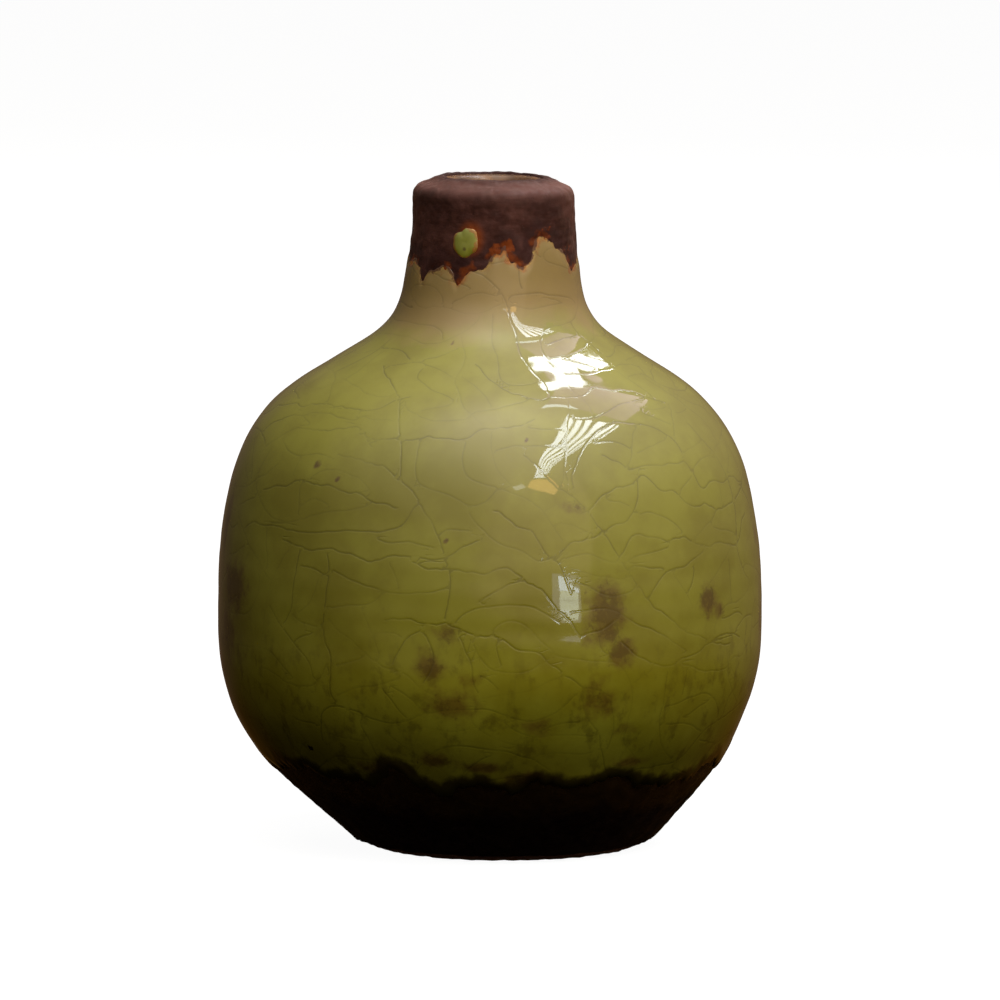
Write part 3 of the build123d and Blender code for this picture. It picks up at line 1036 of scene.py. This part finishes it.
def glaze_piece(shape, look, section):
    """The crackle glaze, with a ragged rolled edge on the heel and one that thins out on the neck."""
    angles = np.linspace(-pi, pi, shape.columns, endpoint=False)
    low_edge = section.outside(heel_edge()(angles))
    high_edge = section.outside(rim_edge()(angles))
    low, high = float(np.median(low_edge)), float(np.median(high_edge))
    close = np.array((0, 0.12, 0.3, 0.5))  # rows that round the edges
    rows = turned_rows(low, high, shape.glaze_row / MM)[1:-1]
    rows = np.concatenate([low + close, rows, high - close[::-1]])
    full = glaze_growth()
    under = slip_growth() - 0.05
    wide = 6.0  # mm over which the mesh rows take up the raggedness of the edges
    outer, top_gaps, heel_gaps, places = [], [], [], []
    for row in rows:
        place = row + (low_edge - low) * np.exp(-(row - low) / wide)
        place = place + (high_edge - high) * np.exp(-(high - row) / wide)
        place[:] = np.clip(place, low_edge, high_edge)
        from_low, from_high = place - low_edge, high_edge - place
        roll = np.clip(from_low / 1.5, 0.0, 1.0)
        roll = np.minimum(np.sqrt(1 - (1 - roll) ** 2), smoothstep(-0.5, 2.2, from_high))
        base = section.points(angles, place, full)
        pooled = shape.pooling / MM * soft_noise(base, 19.0, 3)
        pooled = pooled + 0.25 * shape.pooling / MM * soft_noise(base, 7.0, 4)
        bead = 0.12 * np.exp(-(((from_low - 1.8) / 1.3) ** 2))
        thick = full + pooled + bead + finger_rings(shape, place, angles, section)
        outer.append(section.points(angles, place, under + (thick - under) * roll))
        places.append(place)
        top_gaps.append(from_high)
        heel_gaps.append(from_low)
    inner = [
        section.points(angles, places[0] + (places[-1] - places[0]) * share, 0.03)
        for share in np.linspace(0.999, 0.001, 40)
    ]
    smooth = section.points(angles[None, :], np.array(places), full)
    rings = [thrown(ring, shape, section) for ring in outer + inner]
    piece = ring_mesh("crackle_glaze_coat", rings)
    count, hidden = len(outer) * len(angles), len(inner) * len(angles)

    def store_outer(name, values, fill):
        """Stores values on the outer surface and one fill value on the hidden one."""
        values = np.reshape(values, (count, -1))
        filled = np.concatenate([values, np.full((hidden, values.shape[1]), fill)])
        store(piece, name, filled if filled.shape[1] > 1 else filled[:, 0])

    flat = smooth.reshape(-1, 3)
    for name, rough_gaps, edge, reach in (
        ("top_gap", top_gaps, rim_edge(), 16.0),
        ("heel_gap", heel_gaps, heel_edge(), 14.0),
    ):
        gap = np.array(rough_gaps).ravel()
        near = gap < reach
        gap[near] = gaps(flat[near], edge_points(section, edge, full), reach)
        store_outer(name, gap, 50.0)
    net = Crackle(section, low - 3, high + 6, full, look.cell / MM, seed=31)
    offset, strength = net.offsets(flat)
    store_outer("crack_offset", offset, 9.0)
    store_outer("crack_gap", np.linalg.norm(offset, axis=1), 9.0)
    store_outer("crack_strength", strength, 0.0)
    all_angles = np.broadcast_to(angles, (len(outer), len(angles)))
    heights, radii = section.height(np.array(places)), section.radius(np.array(places))
    store_outer("iron", spread(strewn_blooms(), all_angles, heights, radii), 0.0)
    store_outer("rust_patch", spread(RUST_PATCHES, all_angles, heights, radii), 0.0)
    finish_piece(piece, crackle_glaze_material(look), ["crackle_glaze"])


def slip_coat(name, shape, section, edge, start, end, row, tapers, seed):
    """A coat of slip that tapers at both ends, and its points before it was distorted.

    It stores how far each point is from the glaze's edge.
    """
    angles = np.linspace(-pi, pi, SLIP_COLUMNS, endpoint=False)
    full = slip_growth()
    outer, smooth = [], []
    for row_place in turned_rows(start, end, row):
        place = np.full(angles.shape, row_place)
        rise = np.clip((row_place - start) / tapers[0], 0.0, 1.0)
        rise = rise * np.clip((end - row_place) / tapers[1], 0.0, 1.0)
        base = section.points(angles, place)
        lumps = 0.05 * soft_noise(base, 4.0, seed) + 0.025 * soft_noise(base, 1.5, seed + 1)
        outer.append(section.points(angles, place, 0.02 + (full - 0.02 + lumps) * np.sqrt(rise)))
        smooth.append(section.points(angles, place, full))
    under_rows = turned_rows(start, end, 1.2)[::-1]
    inner = [section.points(angles, row_place, -0.03) for row_place in under_rows]
    smooth += [section.points(angles, start, full)] * len(inner)
    piece = ring_mesh(name, [thrown(ring, shape, section) for ring in outer + inner])
    flat = np.concatenate(smooth)
    store(piece, "glaze_gap", gaps(flat, edge_points(section, edge, full), 20.0))
    return piece, flat


def rim_slip_piece(shape, look, section):
    """Dark slip from under the glaze's upper edge, over the lip and just into the mouth."""
    start = section.outside(box("rim_slip")[0].z / MM - 5.0)
    end = section.crown + 0.45
    row = shape.slip_row / MM
    tapers = (0.8, 0.3)
    piece, flat = slip_coat(
        "rim_slip_coat", shape, section, rim_edge(), start, end, row, tapers, seed=51
    )
    angle, place = splash_center(section)
    radius = section.radius(place)
    angles, heights = np.arctan2(flat[:, 0], -flat[:, 1]), flat[:, 2]
    store(piece, "rust_patch", spread(RUST_PATCHES, angles, heights, radius))
    profile = np.stack([np.hypot(flat[:, 0], flat[:, 1]), heights], axis=1)
    # The crown gets a mask of scorch, and the lip's upward slope a mask of painted light.
    for name, spot, reach in (
        ("crown_scorch", section.crown, 1.5),
        ("lip_painted_light", section.crown - 3.6, 2.2),
    ):
        away = profile - (section.radius(spot), section.height(spot))
        store(piece, name, np.exp(-(away**2).sum(axis=1) / reach**2))
    around = (angles - angle) * radius
    above = heights - section.height(place)
    halo = np.exp(-(((around - 0.9) / 2.5) ** 2) - (((above - 0.7) / 3.1) ** 2))
    burn = np.exp(-(((around + 0.1) / 1.7) ** 2) - (((above + 3.3) / 1.0) ** 2))
    store(piece, "splash_halo", halo)
    store(piece, "splash_burn", burn)
    material = slip_material(look, "rim_slip", look.dark, look.light, shine=0.2, rusty=True)
    finish_piece(piece, material, ["rim_slip"], mirrored=False)


def heel_slip_piece(shape, look, section):
    """Dark slip from the bare foot up to under the glaze's lower edge."""
    start = section.outside(box("heel_slip")[0].z / MM)
    end = section.outside(box("heel_slip")[1].z / MM + 9.0)
    row = 2 * shape.slip_row / MM
    tapers = (0.5, 0.8)
    piece, _ = slip_coat(
        "heel_slip_coat", shape, section, heel_edge(), start, end, row, tapers, seed=61
    )
    material = slip_material(look, "heel_slip", look.heel, look.heel_worn, shine=0.06, rusty=False)
    finish_piece(piece, material, ["heel_slip"])


def liner_piece(shape, look, section):
    """Amber liner glaze, from the mouth's slip down over the floor."""
    angles = np.linspace(-pi, pi, shape.columns // 2, endpoint=False)
    start, end = section.crown + 0.25, section.length - 0.8
    rings = []
    for row in turned_rows(start, end, shape.clay_row / MM * 0.8):
        place = np.full(angles.shape, row)
        base = section.points(angles, place)
        runs = 0.06 * soft_noise(base * (1.0, 1.0, 0.3), 4.0, 71)
        rise = np.sqrt(np.clip((row - start) / 0.6, 0.0, 1.0))
        rings.append(section.points(angles, place, 0.02 + (LINER_THICKNESS + runs - 0.02) * rise))
    back = [section.points(angles, row, 0.0) for row in turned_rows(start, end, 3.0)[::-1]]
    last = section.length - SECTION_STEP
    under, over = (section.points(0.0, last, growth)[None, :] for growth in (0.0, LINER_THICKNESS))
    rings = [thrown(ring, shape, section) for ring in (under, *back, *rings, over)]
    piece = ring_mesh("liner_glaze_coat", rings, closed=False)
    finish_piece(piece, liner_material(look), ["liner_glaze"])


def splash_rings(shape, section, half_width, half_height):
    """Rings of the domed splash on the slip, from its underside's middle to its top."""
    angle, place = splash_center(section)
    thickness, under_rings = 0.5, 5
    turns = np.linspace(0, 2 * pi, 64, endpoint=False)
    circle = np.stack([np.cos(turns), np.sin(turns), 0 * turns], axis=-1)
    outline = 1 + 0.1 * soft_noise(circle, 2.6, 81) + 0.05 * soft_noise(circle, 0.9, 82)
    base = slip_growth() - 0.06
    radius = section.radius(place)
    rings = [section.points(angle, place, base)[None, :]]
    under = np.linspace(0.15, 1.0, under_rings)
    for index, share in enumerate([*under, *np.cos(np.linspace(0, pi / 2, 14))[1:-1]]):
        across = share * outline * half_width * np.cos(turns)
        along = share * outline * half_height * np.sin(turns)
        dome = sqrt(1 - share**2) * (1 - 0.2 * (1 - share) ** 2) if index >= under_rings else 0.0
        rings.append(section.points(angle + across / radius, place + along, base + thickness * dome))
    rings.append(section.points(angle, place, base + thickness * 0.8)[None, :])
    return [thrown(ring, shape, section) for ring in rings]


def splash_piece(shape, look, section):
    """The splash of glaze on the neck."""
    low, high = box("glaze_splash")
    half_width = (high - low).xy.length / MM / 2 * 0.93
    half_height = (high.z - low.z) / MM / 2
    rings = splash_rings(shape, section, half_width, half_height)[::-1]
    piece = ring_mesh("glaze_splash_drop", rings, closed=False)
    corners = np.concatenate(rings)
    middle = rings[0][0]
    away = np.abs(corners - middle) / (half_width, half_width, half_height)
    store(piece, "top_gap", 1.7 * (1 - np.linalg.norm(away, axis=1)) + 0.25)
    pip = np.linalg.norm(corners - (middle + (0.0, 0.0, -1.1)), axis=1)
    store(piece, "iron", np.exp(-((pip / 0.35) ** 2)))
    finish_piece(piece, splash_material(look), ["glaze_splash"])


# ---------------------------------------------------------------- stage


def direction(azimuth, elevation):
    """Unit vector at an azimuth from the front towards +X and an elevation, both in degrees."""
    azimuth, elevation = radians(azimuth), radians(elevation)
    return Vector((sin(azimuth) * cos(elevation), -cos(azimuth) * cos(elevation), sin(elevation)))


def soft_box(stage, name, azimuth, elevation, width, height, radiance):
    """A warm rectangular light that faces the vase and that no reflection shows.

    Its width and height are angles in degrees seen from the vase.
    """
    reach = stage.light_distance
    lamp = bpy.data.lights.new(name, "AREA")
    lamp.shape = "RECTANGLE"
    lamp.size, lamp.size_y = (2 * reach * tan(radians(angle) / 2) for angle in (width, height))
    lamp.energy = radiance * pi * lamp.size * lamp.size_y * stage.brightness
    lamp.color = (1.0, 0.96, 0.9)
    facing = direction(azimuth, elevation)
    middle = Vector((0, 0, box("clay_body")[1].z / 2))
    light = bpy.data.objects.new(name, lamp)
    light.location = middle + facing * reach
    light.rotation_euler = facing.to_track_quat("Z", "Y").to_euler()
    light.visible_camera = light.visible_glossy = False
    bpy.context.scene.collection.objects.link(light)


def glow_material(name):
    """Light given off as stored on the mesh, seen in the glaze's reflections only."""
    material, tree, shader = new_material(
        name, base_color=BLACK, specular_ior_level=0.0, emission_strength=1.0
    )
    tree.links.new(attribute(tree, "glow", vector=True), shader.inputs["Emission Color"])
    material.cycles.emission_sampling = "NONE"
    return material


def reflected_only(name, points, faces, glow):
    """A glowing stage mesh that only reflections see. Points are in metres, glow is linear colour."""
    mesh = bpy.data.meshes.new(name)
    mesh.from_pydata([tuple(point) for point in points], [], faces)
    mesh.materials.append(glow_material(name))
    card = bpy.data.objects.new(name, mesh)
    store(card, "glow", np.array(glow) * bpy.context.scene.vase_stage.brightness)
    card.visible_camera = card.visible_diffuse = card.visible_shadow = False
    card.visible_transmission = card.visible_volume_scatter = False
    bpy.context.scene.collection.objects.link(card)


def window_card(name, outline, radiance, color, reach=6.0, seen_from=(0, 0, 70)):
    """A glowing card, reach metres away, with its outline in directions from a place given in mm."""
    middle = Vector(seen_from) * MM
    points = [middle + direction(*corner) * reach for corner in outline]
    glow = [[radiance * channel for channel in color]] * len(points)
    reflected_only(name, points, [tuple(range(len(points)))], glow)


def fan_of_slats(name, left_side, right_side, slats, radiance, color, reach=5.8):
    """Slats of light that fan out between two sides, each a list of directions."""
    left = [direction(*corner) for corner in left_side]
    right = [direction(*corner) for corner in right_side]
    points, faces = [], []
    for start, end in slats:
        first = len(points)
        for share in (start, end):
            points += [a.lerp(b, share).normalized() * reach for a, b in zip(left, right)]
        for index in range(len(left) - 1):
            low = first + index
            faces.append((low, low + 1, low + 1 + len(left), low + len(left)))
    reflected_only(name, points, faces, [[radiance * channel for channel in color]] * len(points))


def room_glow(name):
    """The room round the vase: bright above and to the right, dim and brown low down."""
    columns, rows = 144, 73
    points, glow = [], []
    for elevation in np.linspace(-89.9, 89.9, rows):
        for azimuth in np.linspace(-180, 180, columns, endpoint=False):
            points.append(direction(azimuth, elevation) * 7.0)
            rise = max((elevation + 16) / 95, 0.0)
            turned = (0.1 + 0.9 * ((1 + cos(radians(azimuth - 42))) / 2) ** 1.2)
            level = 4.4 * min(rise, 1.0) ** 1.3 * turned ** cos(radians(elevation))
            low = 0.42 * turned * float(smoothstep(-45, -5, elevation) * smoothstep(60, 10, elevation))
            wall = smoothstep(-14, 4, azimuth) * (azimuth < 47) * smoothstep(-8, 0, elevation)
            wall = 0.6 * float(wall * smoothstep(74, 50, elevation))
            red, green, blue = 1.2 * level + low, 1.07 * level + 0.42 * low, 0.94 * level + 0.05 * low
            glow.append((red + wall, green + 0.72 * wall, blue + 0.45 * wall))
    faces = []
    for row in range(rows - 1):
        for column in range(columns):
            after = (column + 1) % columns
            low, high = row * columns, (row + 1) * columns
            faces.append((low + column, low + after, high + after, high + column))
    reflected_only(name, points, faces, glow)


def floor_material():
    """Plain pale floor that stays white round the vase's soft shadow."""
    material = new_material(
        "studio_floor", base_color=(0.3, 0.3, 0.3, 1.0), roughness=0.9, specular_ior_level=0.0,
        emission_color=WHITE, emission_strength=0.96,
    )[0]
    material.cycles.emission_sampling = "NONE"
    return material


def room_windows():
    """What the glaze mirrors: the room's glow, a slatted roof and the windows, as directions."""
    cool = (0.93, 0.97, 1.0)
    room_glow("room_glow")
    left_side = ((24, 38.5), (35, 52), (48, 60), (62, 65), (97, 69.5))
    right_side = ((30, 38), (45, 50), (63, 53.5), (83, 53.6), (107, 52))
    slats = ((0.0, 0.15), (0.22, 0.35), (0.43, 0.55), (0.63, 0.74), (0.82, 0.9), (0.96, 1.0))
    fan_of_slats("roof_slats", left_side, right_side, slats, 17.0, cool)
    roof_window = (
        (157, 62.8), (155, 61.2), (153.6, 59.3), (152.4, 57.6), (151.3, 55.8), (150.6, 54),
        (151.4, 52.5), (150.9, 50.5), (150.6, 48.5), (151.2, 46.5), (151.7, 45), (152.4, 43.5),
        (152.6, 41.5), (153.3, 40), (154.2, 38), (155, 36), (156, 36.5), (155, 40), (154.4, 43),
        (153.5, 46.5), (152.7, 48), (152.6, 51), (153.2, 52.8), (153.1, 54), (153.8, 55.5),
        (155.4, 57), (156.5, 58.5), (158, 60.5), (159.5, 62.5),
    )
    window_card("roof_window", roof_window, 16.0, cool)
    window_card("window_corner", ((118, 75), (127, 73.5), (124, 66), (118, 64)), 10.0, cool)
    dusty_window = (
        (113, 58), (119, 65), (127, 73), (141, 69), (154.5, 60.5), (151, 53.5), (149, 46.5),
        (144, 37), (131, 43), (113, 50),
    )
    window_card("dusty_window", dusty_window, 3.7, (1.0, 0.78, 0.92), reach=6.3)
    amber_pane = ((20, 33), (22, 37), (33, 36), (34, 29), (31, 26), (26, 29))
    window_card("amber_pane", amber_pane, 8.0, (1.0, 0.66, 0.34))
    window_card("amber_edge", ((11, 34), (17, 36), (19, 33), (13, 31.5)), 6.0, (1.0, 0.94, 0.86))
    for name, outline, radiance, color, reach in (
        ("frame", ((27, 2.6), (40, 2.2), (39.6, -5.2), (26.6, -5.0)), 2.6, (1.0, 0.86, 0.84), 6.2),
        ("sky", ((29.5, 1.4), (39, 1.0), (38.8, -0.8), (29.5, -0.6)), 10.0, (0.84, 0.92, 1.0), 6.0),
        ("yard", ((29.8, -0.7), (38.4, -0.9), (38, -3.8), (29.5, -3.6)), 7.0, (0.96, 1.0, 0.86), 6.0),
    ):
        window_card("low_window_" + name, outline, radiance, color, reach, seen_from=(12, -43, 55))


def build_stage(stage):
    """Floor, background, lights and camera."""
    floor_mesh = bpy.data.meshes.new("studio_floor")
    reach = 8.0
    corners = [(-reach, -reach, 0), (reach, -reach, 0), (reach, reach, 0), (-reach, reach, 0)]
    floor_mesh.from_pydata(corners, [], [(0, 1, 2, 3)])
    floor = bpy.data.objects.new("studio_floor", floor_mesh)
    floor_mesh.materials.append(floor_material())
    floor.visible_diffuse = floor.visible_glossy = False
    bpy.context.scene.collection.objects.link(floor)

    world = bpy.data.worlds.new("studio")
    bpy.context.scene.world = world
    world.use_nodes = True
    tree = world.node_tree
    background = tree.nodes["Background"]
    path = tree.nodes.new("ShaderNodeLightPath")
    seen = blend(tree, path.outputs["Is Camera Ray"], (0.012, 0.009, 0.007), (1.0, 1.0, 1.0))
    tree.links.new(seen, background.inputs["Color"])

    # Name, azimuth, elevation, width and height in degrees, radiance
    soft_box(stage, "front_box", -2, 45, 38, 36, 1.7)
    soft_box(stage, "key_box", 36, 50, 40, 38, 2.7)
    soft_box(stage, "roof_box", 80, 68, 40, 34, 2.0)
    soft_box(stage, "back_box", 165, 34, 40, 36, 1.2)

    room_windows()

    camera_data = bpy.data.cameras.new("camera")
    camera = bpy.data.objects.new("camera", camera_data)
    bpy.context.scene.collection.objects.link(camera)
    camera_data.lens = camera_data.sensor_width * stage.distance / stage.view_width
    half_height = cad_box[1][2] / 2
    target = Vector((stage.aim_right, 0.0, half_height + stage.aim_up))
    back = Vector((0.0, -cos(stage.elevation), sin(stage.elevation)))
    camera.location = target + back * stage.distance
    camera.rotation_euler = (-back).to_track_quat("-Z", "Y").to_euler()
    bpy.context.scene.camera = camera
    bpy.context.scene.view_settings.view_transform = "Standard"


# ---------------------------------------------------------------- operators, panel, registration


@lru_cache(maxsize=1)
def half_section():
    """The half section that every piece is turned from, read once."""
    return Section()


def settings():
    """The shape properties and the half section."""
    return bpy.context.scene.vase_shape, half_section()


class BUDVASE_OT_clay(Operator):
    """Throw and turn the clay body"""

    bl_idname = "budvase.clay"
    bl_label = "Clay body"

    def execute(self, context):
        shape, section = settings()
        clay_piece(shape, context.scene.vase_clay, section)
        return {"FINISHED"}


class BUDVASE_OT_slip(Operator):
    """Brush the dark slip over the lip and round the heel"""

    bl_idname = "budvase.slip"
    bl_label = "Dark slip"

    def execute(self, context):
        shape, section = settings()
        rim_slip_piece(shape, context.scene.vase_slip, section)
        heel_slip_piece(shape, context.scene.vase_slip, section)
        return {"FINISHED"}


class BUDVASE_OT_glaze(Operator):
    """Pour the crackle glaze over the belly and the neck"""

    bl_idname = "budvase.glaze"
    bl_label = "Crackle glaze"

    def execute(self, context):
        shape, section = settings()
        glaze_piece(shape, context.scene.vase_glaze, section)
        return {"FINISHED"}


class BUDVASE_OT_splash(Operator):
    """Drop a splash of glaze on the neck's slip"""

    bl_idname = "budvase.splash"
    bl_label = "Glaze splash"

    def execute(self, context):
        shape, section = settings()
        splash_piece(shape, context.scene.vase_glaze, section)
        return {"FINISHED"}


class BUDVASE_OT_liner(Operator):
    """Rinse the cavity with liner glaze"""

    bl_idname = "budvase.liner"
    bl_label = "Liner glaze"

    def execute(self, context):
        shape, section = settings()
        liner_piece(shape, context.scene.vase_clay, section)
        return {"FINISHED"}


class BUDVASE_OT_stage(Operator):
    """Set up the floor, the lights and the camera"""

    bl_idname = "budvase.stage"
    bl_label = "Stage"

    def execute(self, context):
        build_stage(context.scene.vase_stage)
        return {"FINISHED"}


PROPERTY_GROUPS = {
    "vase_shape": VaseShape,
    "vase_glaze": CrackleGlazeLook,
    "vase_slip": DarkSlipLook,
    "vase_clay": ClayLook,
    "vase_stage": StageLook,
}
OPERATORS = (
    BUDVASE_OT_clay,
    BUDVASE_OT_slip,
    BUDVASE_OT_glaze,
    BUDVASE_OT_splash,
    BUDVASE_OT_liner,
    BUDVASE_OT_stage,
)


class BUDVASE_PT_panel(Panel):
    """Lists the vase's pieces and their properties"""

    bl_idname = "BUDVASE_PT_panel"
    bl_label = "Bud Vase"
    bl_space_type = "VIEW_3D"
    bl_region_type = "UI"
    bl_category = "Bud Vase"

    def draw(self, context):
        for operator in OPERATORS:
            self.layout.operator(operator.bl_idname)
        for name in PROPERTY_GROUPS:
            section = self.layout.box()
            values = getattr(context.scene, name)
            for entry in values.bl_rna.properties:
                if entry.identifier not in ("rna_type", "name"):
                    section.prop(values, entry.identifier)


def register():
    """Registers the classes and hangs their properties on the scene."""
    for name, kind in PROPERTY_GROUPS.items():
        bpy.utils.register_class(kind)
        setattr(bpy.types.Scene, name, PointerProperty(type=kind))
    for kind in (*OPERATORS, BUDVASE_PT_panel):
        bpy.utils.register_class(kind)


def unregister():
    """Takes back what register did."""
    for kind in (BUDVASE_PT_panel, *reversed(OPERATORS)):
        bpy.utils.unregister_class(kind)
    for name, kind in PROPERTY_GROUPS.items():
        delattr(bpy.types.Scene, name)
        bpy.utils.unregister_class(kind)


def main():
    """Builds the vase coat by coat."""
    register()
    bpy.ops.budvase.clay()
    bpy.ops.budvase.slip()
    bpy.ops.budvase.glaze()
    bpy.ops.budvase.splash()
    bpy.ops.budvase.liner()
    bpy.ops.budvase.stage()
    bpy.context.view_layer.update()


if __name__ == "__main__":
    main()
